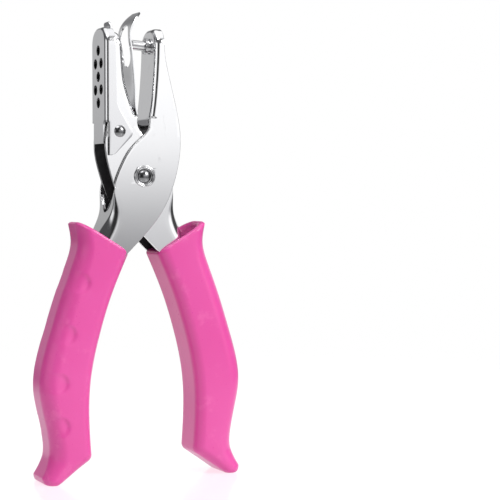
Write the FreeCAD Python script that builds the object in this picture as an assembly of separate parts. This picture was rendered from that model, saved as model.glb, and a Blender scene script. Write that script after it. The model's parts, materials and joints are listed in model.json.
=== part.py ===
"""Single-hole paper punch pliers: two folded-steel arms crossed at a pivot, soft grips, chip cover.

Millimetres. X points right across the tool, Y points back along the pivot, Z points up.
The tool stands on the toes of its grips, with the handles open. The origin lies between
the toes, on the surface that they stand on. Outlines are drawn in the X-Z plane, in heights
above or below the pivot, for the arm whose jaw is on the right. The other arm is mirrored.
"""
import FreeCAD, Part
import math
import os
from FreeCAD import Vector

# Overall sizes
pivot_height = 92.1          # pivot axis above the standing surface
jaw_height = 44.9            # pivot axis to the top of the punch jaw
grip_half_spread = 32.2      # centre plane to the widest point of a grip
closing_angle = 8.0          # degrees from handles open to the pin through the die

# Folded arms
sheet = 1.0                  # arm steel
punch_arm_width = 13.8       # outside, along the pivot
nest_gap = 0.2               # side play between the nested arms
jaw_top_drop = 1.3           # die jaw ends this much lower than the punch jaw
web_foot = 17.7              # jaw webs start this far above the pivot
web_shoulder = -10.5         # handle webs start here, below the pivot
handle_end_rise = 14.1       # handle channels end this far above the standing surface
jaw_bend = 1.6               # outer bend radius of the jaws
handle_bend = 3.0            # outer bend radius of the handles
crown_flat = 1.6             # half of the straight part of each jaw top, seen along X

# Pivot
bush_radius = 2.9
bush_wall = 0.9
bush_rim = 0.4               # rolled rim outside the bush
bush_flange = 0.6
bush_mouth = 0.45            # wall left at the rim's mouth
bush_flange_round = 0.45     # edge round of the flange, as a share of its thickness
bush_mouth_depth = 0.3       # mouth's floor inside the arm's face
pivot_head_gap = 0.3         # groove between the rim and the pin's head
pivot_head_edge = 0.15       # straight edge under the head's dome
pivot_head_dome = 0.9
running_gap = 0.05
spring_wire = 1.0
spring_turns = 4
spring_turn_pitch = 0.94     # from turn to turn, as a share of the wire
spring_gap = 0.35            # between the sleeve and the coil
sleeve_wall = 0.6
spring_leg = 17.0
spring_leg_lean = 24.0       # degrees between each leg and upright

# Punch pin and die
pin_radius = 1.5
pin_drop = 5.4               # pin axis below the top of the punch jaw, when closed
die_lean = 4.0               # degrees that the die face leans back from upright
pin_entry = 0.9              # pin tip past the die face when closed
collar_step = 0.9            # collar past the pin, all round
collar_length = 1.4
collar_groove = 0.35
pin_tail = 0.7               # riveted end behind the web
pin_tail_step = 0.5          # riveted end past the pin, all round
die_wall = 1.1               # die ring's wall round the pin
die_flange = 0.5             # flange past the ring's body
die_flange_thickness = 0.6
die_depth = 2.4

# Chip cover
cover_sheet = 0.7
cover_side_gap = 0.3         # between the cover's cheeks and the die jaw
cover_face_gap = 0.4         # between the cover's face and the die jaw's edges
cover_top_gap = 0.6
cover_bend = 1.25
die_edge = 11.2              # die jaw's open edges, from the centre plane
hinge_x, hinge_z = -7.8, 13.5
ear_drop = 7.2               # ear's foot below the hinge pin
ear_foot_step = 1.8          # ear's foot ends this far on the face's side of the hinge pin
ear_reach = 4.7              # ear's corner past the hinge pin, before it is rounded
ear_corner_drop = 0.6        # ear's corner below the hinge pin
ear_foot_round, ear_round, cheek_round = 1.3, 2.0, 6.0
cheek_foot, cheek_foot_rise = -8.6, 7.8   # where the cheek's edge turns into the ear
cheek_top = -9.1             # cheek's edge at the cover's top
hinge_radius = 1.3
hinge_head_rim = 0.5
hinge_head_dome = 0.7
tongue_top = 16.2
tongue_end = 9.8
tongue_side_gap = 0.3
vent_radius = 1.55
vent_pitch = 3.95
vent_pair_spacing = 5.2
vent_rows = (1, 2, 1, 2, 1)
vent_top_drop = 7.0
tab_start = -9.5             # thumb tab's face, on the lid's side
tab_width, tab_height, tab_thickness = 5.4, 1.9, 0.8

# Paper guide leaf
leaf_sheet = 0.5
leaf_edge_step = 0.45        # die jaw's edge past the leaf's edge
leaf_rail = 1.4              # steel left on each side of the slot
leaf_slot_half = 6.3         # half the slot's height, above and below the pin
leaf_foot_step = 0.6         # leaf's foot above the web's foot
leaf_rise = 4.7              # leaf's tip above the punch jaw
leaf_lip_x = 0.7             # leaf's tip, from the centre plane
leaf_tip_flat = 0.2          # half of the tip's straight part, seen along X
leaf_slot_flat = 0.05        # half of the straight part of each slot end
leaf_rivet_radius = 0.9
leaf_rivet_head = 1.5
leaf_rivet_dome = 0.5
leaf_rivet_seat = 0.1        # head's foot above the leaf
leaf_rivet_tail = 0.9        # shank past the inside of the web
leaf_rivet_height = 20.6
leaf_seat_gap = 0.05

# Grips
grip_wall = 1.1              # vinyl over the sides of the punch arm's handle
grip_outer_round = 4.2
grip_inner_round = 2.6
grip_fit = 0.1
toe_rise = 2.2               # toe's rounded corner above the standing surface

# Sizes that follow from the ones above
die_arm_width = punch_arm_width - 2 * (sheet + nest_gap)
die_inner_width = die_arm_width - 2 * sheet
cover_width = die_arm_width + 2 * (cover_side_gap + cover_sheet)
tongue_width = die_inner_width - 2 * tongue_side_gap
leaf_width = die_arm_width - 2 * leaf_edge_step
leaf_slot_width = leaf_width - 2 * leaf_rail
grip_thickness = punch_arm_width + 2 * grip_wall
die_top = jaw_height - jaw_top_drop
pin_height = jaw_height - pin_drop
leaf_tip = jaw_height + leaf_rise
handle_end = handle_end_rise - pivot_height
bush_flange_radius = bush_radius + bush_rim
bush_flange_bore = bush_radius - bush_mouth
pivot_head_radius = bush_flange_bore - pivot_head_gap
die_body_radius = pin_radius + die_wall
hinge_head_radius = hinge_radius + hinge_head_rim
cover_top = die_top + cover_top_gap + cover_sheet
cover_face = -(die_edge + cover_face_gap + cover_sheet)
FAR = 200.0                  # reach of cutting blocks
OVERRUN = 1.0                # cutters run this far past what they cut
LAP = 0.01                   # hollows overlap by this much at level cuts, so that they join
TOUCH = 1e-3                 # nearer than this counts as touching
PIN_CUT = 4.0                # reach of the die's cutter, each way from the die face

# Outlines: (x, share of the jaw's height) above the pivot, (share of the half spread,
# share of the pivot's height) below it
PUNCH_WEB = [(1.9, web_foot / jaw_height), (2.45, 0.48), (3.05, 0.62), (3.45, 0.76), (3.75, 1.0)]
DIE_WEB = [(1.9, web_foot / jaw_height), (2.75, 0.44), (4.0, 0.52), (5.35, 0.62), (5.95, 0.72),
           (6.25, 0.82), (6.65, 0.95), (6.8, 1.0)]
PUNCH_BACK = [(6.6, 1.0), (6.6, 0.84), (7.9, 0.68), (10.2, 0.47), (11.65, 0.25)]
LEAF_FREE = [(-2.2, 0.472), (-2.35, 0.577), (-2.75, 0.713), (-3.4, 0.857), (-3.85, 0.962),
             (-3.3, 1.011), (-1.7, 1.06)]
DIE_BACK = [(die_edge, tongue_top), (11.75, 12.6), (11.95, 9.0)]
CROSS_BACK = [(10.3, 0.7), (5.8, -10.5), (-1.0, -18.8), (-5.9, -23.7)]
CROSS_FRONT = [(-3.2, 9.5), (-7.4, 2.8), (-9.5, -3.3), (-10.2, web_shoulder)]
HANDLE_OUTER = [(-0.39, -0.168), (-0.51, -0.245), (-0.615, -0.326),
                (-0.72, -0.434), (-0.82, -0.55), (-0.885, -0.64), (-0.89, -0.72), (-0.84, -0.847)]
HANDLE_INNER = [(-0.183, -0.257), (-0.29, -0.33), (-0.375, -0.41), (-0.46, -0.51),
                (-0.545, -0.64), (-0.585, -0.75), (-0.575, -0.847)]
GRIP_OUTER = [(0.634, -0.165), (0.624, -0.215), (0.674, -0.285), (0.776, -0.38), (0.885, -0.497),
              (0.978, -0.615), (1.0, -0.685), (0.972, -0.755), (0.915, -0.85), (0.908, -0.9),
              (0.955, -0.955)]
GRIP_SOLE = (0.945, 0.84)    # flat of the toe, as shares of the half spread
TOE_CORNER = 0.988
GRIP_INNER = [(0.51, -0.905), (0.53, -0.78), (0.515, -0.665), (0.425, -0.515), (0.314, -0.392),
              (0.155, -0.262)]


def at(x, z, y=0.0):
    """Point at x, y and a height z above the pivot."""
    return Vector(x, y, pivot_height + z)


def jaw_points(shares):
    return [at(x, share * jaw_height) for x, share in shares]


def leg_points(shares):
    return [at(x * grip_half_spread, z * pivot_height) for x, z in shares]


def curve(points):
    """Smooth edge through the points, or a straight one through two."""
    if len(points) == 2:
        return Part.makeLine(points[0], points[1])
    spline = Part.BSplineCurve()
    spline.interpolate(points)
    return spline.toShape()


def shifted(points, distance):
    """Points moved sideways in the X-Z plane, to the right of the way they run."""
    moved = []
    for i, point in enumerate(points):
        ahead = points[min(i + 1, len(points) - 1)] - points[max(i - 1, 0)]
        ahead.normalize()
        moved.append(point + Vector(ahead.z, 0, -ahead.x) * distance)
    return moved


def outline(*runs):
    """Closed wire of smooth runs, with straight edges between their ends."""
    edges = []
    for run, following in zip(runs, runs[1:] + runs[:1]):
        if len(run) > 1:
            edges.append(curve(run))
        if run[-1].distanceToPoint(following[0]) > 1e-6:
            edges.append(Part.makeLine(run[-1], following[0]))
    return Part.Wire(edges)


def slab(wire, width, middle=0.0):
    """Outline carried along Y, with its middle at y = middle."""
    face = Part.Face(wire)
    face.translate(Vector(0, middle - width / 2, 0))
    return face.extrude(Vector(0, width, 0))


def block(low, high):
    size = high - low
    return Part.makeBox(size.x, size.y, size.z, low)


def between(solid, low_z, high_z):
    """Part of a solid between two heights from the pivot."""
    return solid.common(block(at(-FAR, low_z, -FAR), at(FAR, high_z, FAR)))


def mirrored(solid):
    return solid.mirror(Vector(0, 0, 0), Vector(1, 0, 0))


def round_crown(solid, width, top, radius):
    """Rounds the two top corners that are seen along X."""
    keep = slab_along_x([(-width / 2, -FAR), (-width / 2, top), (width / 2, top), (width / 2, -FAR)],
                        [0, radius, radius, 0])
    return solid.common(keep)


def corner_wire(corners, radii):
    """Closed wire of straight edges whose corners are rounded by tangent arcs."""
    edges = []
    ends = []
    for i, corner in enumerate(corners):
        before = (corners[i - 1] - corner).normalize()
        after = (corners[(i + 1) % len(corners)] - corner).normalize()
        half = before.getAngle(after) / 2
        if radii[i] <= 0:
            ends.append((corner, corner))
            continue
        reach = radii[i] / math.tan(half)
        start, end = corner + before * reach, corner + after * reach
        centre = corner + (before + after).normalize() * (radii[i] / math.sin(half))
        middle = centre + (corner - centre).normalize() * radii[i]
        edges.append(Part.Arc(start, middle, end).toShape())
        ends.append((start, end))
    for i in range(len(ends)):
        start, end = ends[i][1], ends[(i + 1) % len(ends)][0]
        if start.distanceToPoint(end) > 1e-6:
            edges.append(Part.makeLine(start, end))
    return Part.Wire(Part.__sortEdges__(edges))


def slab_along_x(corners, radii):
    """Rounded outline in (y, height above the pivot), carried along X."""
    wire = corner_wire([Vector(-FAR, y, pivot_height + z) for y, z in corners], radii)
    return Part.Face(wire).extrude(Vector(2 * FAR, 0, 0))


def web_fillet(solid, web_points, radius, crowned=False):
    """Rounds the long edges of the web face that runs through the points, and a crowned web's top edge."""
    probe = Part.Vertex(web_points[len(web_points) // 2])
    web = min(solid.Faces, key=lambda face: face.distToShape(probe)[0])
    top = max(point.z for point in web_points)
    edges = []
    for edge in web.Edges:
        box = edge.BoundBox
        level = box.ZLength < TOUCH
        if not level or (crowned and box.ZMin > top - TOUCH):
            edges.append(edge)
    return solid.makeFillet(radius, edges)


def arm(width, top, jaw_web, *back):
    """Folded channel: jaw web on the inside, handle web on the outside, plates at the crossing.

    The back runs follow the open edge, from the grip up to the top of the jaw.
    """
    web = jaw_points(jaw_web)
    web[-1] = Vector(web[-1].x, 0, pivot_height + top)
    handle = [at(*CROSS_FRONT[-1])] + leg_points(HANDLE_OUTER)
    handle[-1].z = pivot_height + handle_end
    inner = leg_points(HANDLE_INNER)
    inner[-1].z = pivot_height + handle_end
    inner[0] = at(*CROSS_BACK[-1])
    cross = [web[0]] + [at(x, z) for x, z in CROSS_FRONT]
    crown = width / 2 - crown_flat
    full = slab(outline(web[::-1], cross, handle, inner[::-1], *back), width)

    jaw = between(round_crown(full, width, top, crown), web_foot, FAR)
    jaw = web_fillet(jaw, web, jaw_bend, crowned=True)
    plates = between(full, web_shoulder, web_foot)
    grip_end = web_fillet(between(full, -FAR, web_shoulder), handle, handle_bend)

    hollow_width = width - 2 * sheet
    web_inside = shifted(web, sheet)
    web_inside[0].z = pivot_height + web_foot - LAP
    web_inside[-1].z = pivot_height + top - sheet
    open_side = [at(FAR, top - sheet)], [at(FAR, web_foot - LAP)]
    jaw_hollow = slab(outline(web_inside, *open_side), hollow_width)
    jaw_hollow = round_crown(jaw_hollow, hollow_width, top - sheet, crown - sheet)
    jaw_hollow = web_fillet(jaw_hollow, web_inside, jaw_bend - sheet, crowned=True)
    plate_hollow = block(at(-FAR, web_shoulder - LAP, -hollow_width / 2),
                         at(FAR, web_foot + LAP, hollow_width / 2))
    inside = shifted(handle, -sheet)
    inside[0].z = pivot_height + web_shoulder + LAP
    inside[-1].z = pivot_height + handle_end - OVERRUN
    open_side = [at(FAR, handle_end - OVERRUN)], [at(FAR, web_shoulder + LAP)]
    handle_hollow = slab(outline(inside, *open_side), hollow_width)
    handle_hollow = web_fillet(handle_hollow, inside, handle_bend - sheet)

    solid = jaw.cut(jaw_hollow).fuse([plates.cut(plate_hollow), grip_end.cut(handle_hollow)])
    return solid.removeSplitter()


def rod(radius, start, end):
    """Round rod from one point to another."""
    along = end - start
    return Part.makeCylinder(radius, along.Length, start, along)


def dome(radius, height, centre, direction):
    """Low spherical cap on a flat circle."""
    ball = (radius ** 2 + height ** 2) / (2 * height)
    sphere = Part.makeSphere(ball, centre - direction * (ball - height))
    return sphere.common(rod(radius, centre, centre + direction * (height + OVERRUN)))


def turned(solid, degrees):
    """Turned about the pivot, positive as the punch arm closes."""
    return solid.rotate(at(0, 0), Vector(0, -1, 0), degrees)


def die_face_point():
    """Where the pin's axis meets the die face when the tool is closed."""
    web = curve(jaw_points(DIE_WEB))
    cut = web.distToShape(Part.makeLine(at(0, pin_height), at(FAR, pin_height)))[1][0][0]
    return Vector(-cut.x, 0, cut.z)


def pin_direction():
    """Unit vector out of the die face, towards the punch jaw."""
    lean = math.radians(die_lean)
    return Vector(math.cos(lean), 0, math.sin(lean))


def pin_seat_distance():
    """Distance from the die face to the punch jaw's web along the pin, when closed."""
    web = turned(curve(jaw_points(PUNCH_WEB)), closing_angle)
    start = die_face_point() - pin_direction() * die_depth
    line = Part.makeLine(start, start + pin_direction() * FAR)
    return web.distToShape(line)[1][0][0].distanceToPoint(die_face_point())


def pin_holes(radius):
    """Cutter along the closed pin's axis, through the web it belongs to."""
    start = die_face_point()
    return rod(radius, start - pin_direction() * PIN_CUT, start + pin_direction() * PIN_CUT)


def punch_pin():
    seat = pin_seat_distance()
    face, out = die_face_point(), pin_direction()
    back = face + out * (seat + sheet)
    shank = rod(pin_radius, face - out * pin_entry, back)
    tail = rod(pin_radius + pin_tail_step, back, back + out * pin_tail)
    return turned(shank.fuse(tail), -closing_angle)


def pin_collar():
    """Shoulder ring on the pin, with a groove at its foot, faced to sit on the jaw's web."""
    seat = pin_seat_distance()
    face, out = die_face_point(), pin_direction()
    foot = face + out * seat
    body = rod(pin_radius + collar_step, foot - out * collar_length, foot - out * collar_groove)
    neck = rod(pin_radius + collar_step / 2, foot - out * collar_groove, foot)
    bore = rod(pin_radius, foot - out * (collar_length + OVERRUN), foot + out)
    return turned(body.fuse(neck).cut(bore), -closing_angle).cut(punch_arm())


def die_button():
    """Flanged ring in the die jaw, bored for the pin."""
    face, out = die_face_point(), pin_direction()
    body = rod(die_body_radius, face - out * die_depth, face)
    back = face - out * sheet
    flange = rod(die_body_radius + die_flange, back - out * die_flange_thickness, back)
    bore = rod(pin_radius + running_gap, face - out * (die_depth + OVERRUN), face + out)
    return body.fuse(flange).cut(bore)


def punch_arm():
    back = jaw_points(PUNCH_BACK) + [at(x, z) for x, z in CROSS_BACK]
    solid = arm(punch_arm_width, jaw_height, PUNCH_WEB, back[::-1])
    solid = solid.cut(pivot_cutter(bush_radius))
    seat = die_face_point() + pin_direction() * pin_seat_distance()
    hole = rod(pin_radius, seat - pin_direction() * sheet, seat + pin_direction() * 2 * sheet)
    return solid.cut(turned(hole, -closing_angle))


def die_arm():
    back = [at(x, z) for x, z in DIE_BACK + CROSS_BACK]
    solid = mirrored(arm(die_arm_width, die_top, DIE_WEB, back[::-1], [at(die_edge, die_top)]))
    solid = solid.cut(pivot_cutter(bush_radius + running_gap))
    solid = solid.cut(pin_holes(die_body_radius))
    solid = solid.cut(rod(hinge_radius, at(hinge_x, hinge_z, -FAR), at(hinge_x, hinge_z, FAR)))
    return solid.cut(leaf_rivet_shank())


def pivot_cutter(radius):
    return rod(radius, at(0, 0, -FAR), at(0, 0, FAR))


def pivot_bush(side):
    """Flanged bush with a rolled rim: side is -1 at the front and 1 at the back."""
    face = side * punch_arm_width / 2
    inner = side * die_inner_width / 2
    tube = rod(bush_radius, at(0, 0, inner), at(0, 0, face))
    flange = rod(bush_flange_radius, at(0, 0, face), at(0, 0, face + side * bush_flange))
    flange = flange.makeFillet(bush_flange * bush_flange_round, [flange.Edges[0], flange.Edges[2]])
    mouth = rod(bush_flange_bore, at(0, 0, face - side * bush_mouth_depth),
                at(0, 0, face + side * (bush_flange + OVERRUN)))
    bore = rod(bush_radius - bush_wall, at(0, 0, inner - side * OVERRUN), at(0, 0, face))
    return tube.fuse(flange).cut(mouth).cut(bore)


def pivot_pin():
    """Rivet through both bushes, with a domed head in each rim."""
    reach = punch_arm_width / 2 - bush_mouth_depth
    solid = rod(bush_radius - bush_wall, at(0, 0, -reach), at(0, 0, reach))
    for side in (-1, 1):
        edge = at(0, 0, side * (reach + pivot_head_edge))
        head = rod(pivot_head_radius, at(0, 0, side * reach), edge)
        cap = dome(pivot_head_radius, pivot_head_dome, edge, Vector(0, side, 0))
        solid = solid.fuse([head, cap])
    return solid


def spring_sleeve():
    """Spacer on the pivot pin between the bushes, under the spring's coil."""
    reach = die_inner_width / 2 - nest_gap
    tube = rod(bush_radius - bush_wall + sleeve_wall, at(0, 0, -reach), at(0, 0, reach))
    return tube.cut(pivot_cutter(bush_radius - bush_wall + running_gap))


def return_spring():
    """Close-wound torsion coil on the sleeve, as touching turns, with a leg down into each handle."""
    radius = bush_radius - bush_wall + sleeve_wall + spring_gap + spring_wire / 2
    pitch = spring_wire * spring_turn_pitch
    reach = pitch * (spring_turns - 1) / 2
    lean = math.radians(spring_leg_lean)
    pieces = []
    for turn in range(spring_turns):
        centre = at(0, 0, turn * pitch - reach)
        pieces.append(Part.makeTorus(radius, spring_wire / 2, centre, Vector(0, 1, 0)))
    for side in (1, -1):
        end = at(side * radius * math.cos(lean), radius * math.sin(lean), -side * (reach + pitch))
        down = Vector(side * math.sin(lean), 0, -math.cos(lean))
        pieces.append(rod(spring_wire / 2, end - down * spring_wire, end + down * spring_leg))
    return pieces[0].fuse(pieces[1:])


def cover_outline():
    """Cover's side outline: crown, straight cheek edge, ear round the hinge pin, face."""
    foot = hinge_z - ear_drop
    corners = [at(cover_face, cover_top), at(cover_face, foot), at(hinge_x - ear_foot_step, foot),
               at(hinge_x + ear_reach, hinge_z - ear_corner_drop),
               at(cheek_foot, hinge_z + cheek_foot_rise), at(cheek_top, cover_top)]
    return corner_wire(corners, [0, 0, ear_foot_round, ear_round, cheek_round, 0])


def cover_inside():
    """Outline of the space inside the cover, open towards the jaw and downwards."""
    face, top = cover_face + cover_sheet, cover_top - cover_sheet
    return corner_wire([at(face, top), at(face, -FAR / 2), at(FAR / 2, -FAR / 2), at(FAR / 2, top)],
                       [0, 0, 0, 0])


def chip_cover():
    """Folded lid over the die jaw: vented face, two cheeks with ears, a tongue and a thumb tab."""
    inner_width = cover_width - 2 * cover_sheet
    crown = cover_width / 2 - crown_flat
    shell = round_crown(slab(cover_outline(), cover_width), cover_width, cover_top, crown)
    shell = face_fillet(shell, cover_face, cover_bend)
    hollow = slab(cover_inside(), inner_width)
    hollow = round_crown(hollow, inner_width, cover_top - cover_sheet, crown - cover_sheet)
    hollow = face_fillet(hollow, cover_face + cover_sheet, cover_bend - cover_sheet)
    shell = shell.cut(hollow)
    ear_edge = cover_face + cover_bend
    for side in (-1, 1):
        low_y, high_y = sorted((side * tongue_width / 2, side * cover_width))
        shell = shell.cut(block(at(cover_face - OVERRUN, -FAR, low_y), at(ear_edge, tongue_top, high_y)))
    shell = shell.cut(block(at(cover_face - OVERRUN, -FAR, -tongue_width / 2),
                            at(ear_edge, tongue_end, tongue_width / 2)))
    for y, z in vent_places():
        shell = shell.cut(rod(vent_radius, at(cover_face - OVERRUN, z, y),
                              at(cover_face + cover_sheet + OVERRUN, z, y)))
    pin_bore = rod(hinge_radius + running_gap, at(hinge_x, hinge_z, -FAR), at(hinge_x, hinge_z, FAR))
    tab = block(at(tab_start, cover_top - cover_sheet, -tab_width / 2),
                at(tab_start + tab_thickness, cover_top + tab_height, tab_width / 2))
    return shell.cut(pin_bore).fuse(tab).removeSplitter()


def face_fillet(solid, face_x, radius):
    """Rounds the upright and crown edges of the flat face at face_x."""
    edges = []
    for edge in solid.Edges:
        box = edge.BoundBox
        on_face = abs(box.XMin - face_x) < TOUCH and abs(box.XMax - face_x) < TOUCH
        bottom = box.ZLength < TOUCH and box.ZMin < pivot_height + tongue_end
        if on_face and not bottom:
            edges.append(edge)
    return solid.makeFillet(radius, edges)


def vent_places():
    places = []
    for row, count in enumerate(vent_rows):
        z = cover_top - vent_top_drop - row * vent_pitch
        for k in range(count):
            places.append(((k - (count - 1) / 2) * vent_pair_spacing, z))
    return places


def cover_hinge_pin():
    reach = cover_width / 2 + running_gap
    solid = rod(hinge_radius, at(hinge_x, hinge_z, -reach), at(hinge_x, hinge_z, reach))
    for side in (-1, 1):
        solid = solid.fuse(dome(hinge_head_radius, hinge_head_dome, at(hinge_x, hinge_z, side * reach),
                                Vector(0, side, 0)))
    return solid


def leaf_line():
    """Leaf's middle line: along the die web at its foot, then free, with a lip turned back."""
    web_x, share = DIE_WEB[0]
    foot = at(leaf_seat_gap + leaf_sheet / 2 - web_x, share * jaw_height + leaf_foot_step)
    return [foot] + jaw_points(LEAF_FREE) + [at(leaf_lip_x, leaf_tip)]


def paper_guide():
    """Spring-steel leaf that strips the paper off the pin through its slot."""
    line = leaf_line()
    right = shifted(line, leaf_sheet / 2)
    left = shifted(line, -leaf_sheet / 2)
    leaf = slab(outline(right, left[::-1]), leaf_width)
    leaf = round_crown(leaf, leaf_width, leaf_tip + leaf_sheet, leaf_width / 2 - leaf_tip_flat)
    half, low, high = leaf_slot_width / 2, pin_height - leaf_slot_half, pin_height + leaf_slot_half
    corners = [(-half, low), (-half, high), (half, high), (half, low)]
    slot = slab_along_x(corners, [half - leaf_slot_flat] * 4)
    return leaf.cut(slot).cut(leaf_rivet_shank())


def leaf_rivet_shank():
    return rod(leaf_rivet_radius, at(-die_edge, leaf_rivet_height), at(0, leaf_rivet_height))


def leaf_rivet():
    """Rivet that holds the leaf's foot to the die jaw's web."""
    middle = leaf_x(leaf_rivet_height)
    right = at(middle + leaf_sheet / 2 + leaf_rivet_seat, leaf_rivet_height)
    left = at(middle - leaf_sheet - sheet - leaf_rivet_tail, leaf_rivet_height)
    shank = rod(leaf_rivet_radius, left, right)
    tail = rod(leaf_rivet_head, left - Vector(leaf_rivet_dome, 0, 0), left)
    return shank.fuse([dome(leaf_rivet_head, leaf_rivet_dome, right, Vector(1, 0, 0)), tail])


def leaf_x(height):
    """Leaf's middle line at a height above the pivot."""
    line = curve(leaf_line())
    cut = line.distToShape(Part.makeLine(at(-FAR, height), at(FAR, height)))[1][0][0]
    return cut.x


def long_edges(solid, point, width):
    """Both edges of a slab that run through a point of its outline."""
    probes = [Part.Vertex(point.x, side * width / 2, point.z) for side in (-1, 1)]
    return [edge for edge in solid.Edges for probe in probes if edge.distToShape(probe)[0] < TOUCH]


def grip_blank():
    """Palm grip's outside, right of the centre plane."""
    outer = leg_points(GRIP_OUTER)
    heel = leg_points(GRIP_INNER)
    corner = at(grip_half_spread * TOE_CORNER, toe_rise - pivot_height)
    sole = [at(grip_half_spread * share, -pivot_height) for share in GRIP_SOLE]
    solid = slab(outline(outer + [corner], sole[:1], sole[1:], heel), grip_thickness)
    solid = solid.makeFillet(grip_outer_round, long_edges(solid, outer[len(outer) // 2], grip_thickness))
    return solid.makeFillet(grip_inner_round, long_edges(solid, heel[len(heel) // 2], grip_thickness))


def grip(width):
    """Sleeve over a handle channel. The channel's pocket opens at the top."""
    handle = [at(*CROSS_FRONT[-1])] + leg_points(HANDLE_OUTER)
    inner = [at(*CROSS_BACK[-1])] + leg_points(HANDLE_INNER)[1:]
    handle[-1].z = inner[-1].z = pivot_height + handle_end - grip_fit
    pocket = outline(shifted(handle, grip_fit), shifted(inner, -grip_fit)[::-1])
    pocket = web_fillet(slab(pocket, width + 2 * grip_fit), shifted(handle, grip_fit), handle_bend)
    return mirrored(grip_blank()).cut(pocket)


def finger_grip():
    return grip(punch_arm_width)


def palm_grip():
    return mirrored(grip(die_arm_width))


def main():
    os.makedirs("parts", exist_ok=True)
    nodes = {
        "punch_arm": punch_arm(),
        "die_arm": die_arm(),
        "punch_pin": punch_pin(),
        "pin_collar": pin_collar(),
        "die_button": die_button(),
        "pivot_bush_front": pivot_bush(-1),
        "pivot_bush_rear": pivot_bush(1),
        "pivot_pin": pivot_pin(),
        "spring_sleeve": spring_sleeve(),
        "return_spring": return_spring(),
        "chip_cover": chip_cover(),
        "cover_hinge_pin": cover_hinge_pin(),
        "paper_guide": paper_guide(),
        "leaf_rivet": leaf_rivet(),
        "finger_grip": finger_grip(),
        "palm_grip": palm_grip(),
    }
    for name, shape in nodes.items():
        print(name, shape.ShapeType, len(shape.Solids), shape.isValid(), round(shape.Volume, 1))
        shape.exportStep("parts/" + name + ".step")


main()
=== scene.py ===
"""Looks of the hole-punch pliers: plated sheet-steel arms, chip cover, paper guide, pin, rivets
and vinyl grips.

Lengths are worked out in millimetres from the pivot (x right, y back, z up) and become metres
in the frame's own place when a surface is made.
"""
import json
import math

import bmesh
import bpy
import numpy as np
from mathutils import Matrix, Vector


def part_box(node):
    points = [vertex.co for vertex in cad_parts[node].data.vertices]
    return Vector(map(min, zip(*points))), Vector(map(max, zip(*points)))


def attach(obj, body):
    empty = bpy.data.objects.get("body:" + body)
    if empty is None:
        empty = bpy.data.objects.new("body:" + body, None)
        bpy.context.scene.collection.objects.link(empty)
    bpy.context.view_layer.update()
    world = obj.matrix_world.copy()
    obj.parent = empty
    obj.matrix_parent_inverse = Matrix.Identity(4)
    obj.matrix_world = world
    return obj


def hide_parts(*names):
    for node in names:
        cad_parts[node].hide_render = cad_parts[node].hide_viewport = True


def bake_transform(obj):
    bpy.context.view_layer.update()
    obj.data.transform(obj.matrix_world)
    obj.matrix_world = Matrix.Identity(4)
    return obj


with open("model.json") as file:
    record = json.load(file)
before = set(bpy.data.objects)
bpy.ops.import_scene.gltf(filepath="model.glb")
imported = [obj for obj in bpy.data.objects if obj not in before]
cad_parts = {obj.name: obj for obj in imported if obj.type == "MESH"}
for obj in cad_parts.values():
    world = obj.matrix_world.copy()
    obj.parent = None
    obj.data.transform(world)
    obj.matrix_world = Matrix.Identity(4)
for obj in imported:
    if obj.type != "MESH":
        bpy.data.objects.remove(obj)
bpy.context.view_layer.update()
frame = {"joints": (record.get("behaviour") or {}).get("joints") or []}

MM = 0.001
JOINTS = {joint["name"]: joint for joint in frame["joints"]}
PIVOT_Z = JOINTS["squeeze"]["pos_m"][2] / MM
HINGE = (JOINTS["cover_swing"]["pos_m"][0] / MM, JOINTS["cover_swing"]["pos_m"][2] / MM - PIVOT_Z)
CLOSING = math.radians(JOINTS["squeeze"]["range_deg"][1])


def node_mm(node):
    """A CAD node's lowest and highest corner, in millimetres from the pivot."""
    low, high = (np.array(corner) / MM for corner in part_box(node))
    return low - (0, 0, PIVOT_Z), high - (0, 0, PIVOT_Z)


# Sizes read from the frame. A half is a piece's reach along y from the middle plane.
PUNCH_LOW, PUNCH_HIGH = node_mm("punch_arm")
DIE_HALF, DIE_TOP = node_mm("die_arm")[1][1:]
COVER_LOW, COVER_HIGH = node_mm("chip_cover")
PUNCH_HALF, JAW_TOP = PUNCH_HIGH[1:]
COVER_HALF = COVER_HIGH[1]
LEAF_HALF = node_mm("paper_guide")[1][1]
GRIP_HALF = node_mm("palm_grip")[1][1]
HANDLE_END = PUNCH_LOW[2]

# Arms
SHEET = 1.0
CROWN_FLAT = 1.6                 # half width of the flat on top of a jaw
JAW_BEND, HANDLE_BEND = 1.6, 4.2
SLIGHT = 0.02                    # radius with which the handle's bend begins
BEND_GROWTH, DIP_FADE = 14, 24   # heights over which the bend grows and the web's dip fades
WEB_FOOT, WEB_SHOULDER = 17.7, -10.5
WEB_TOP, WEB_DIP = -3.3, 7.6     # where the handle's bend begins, and how far the web's edge dips
TOE_DROP, TOE_CURL = 3.4, 1.5    # jaw webs end in a short curl, this far down and inward
PLATE_COLUMNS = np.linspace(0, 1, 9)    # from a plate's open edge to its bend
BUSH_RADIUS, HINGE_RADIUS, DIE_RADIUS = 2.9, 1.3, 2.6
BORE_PLAY = 0.05
PIN_HEIGHT, DIE_LEAN = 39.5, 4.0 # where the pin meets the die, and the bore's lean in degrees
BORE_REACH = 30.0                # from the middle plane to past the widest piece

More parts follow.
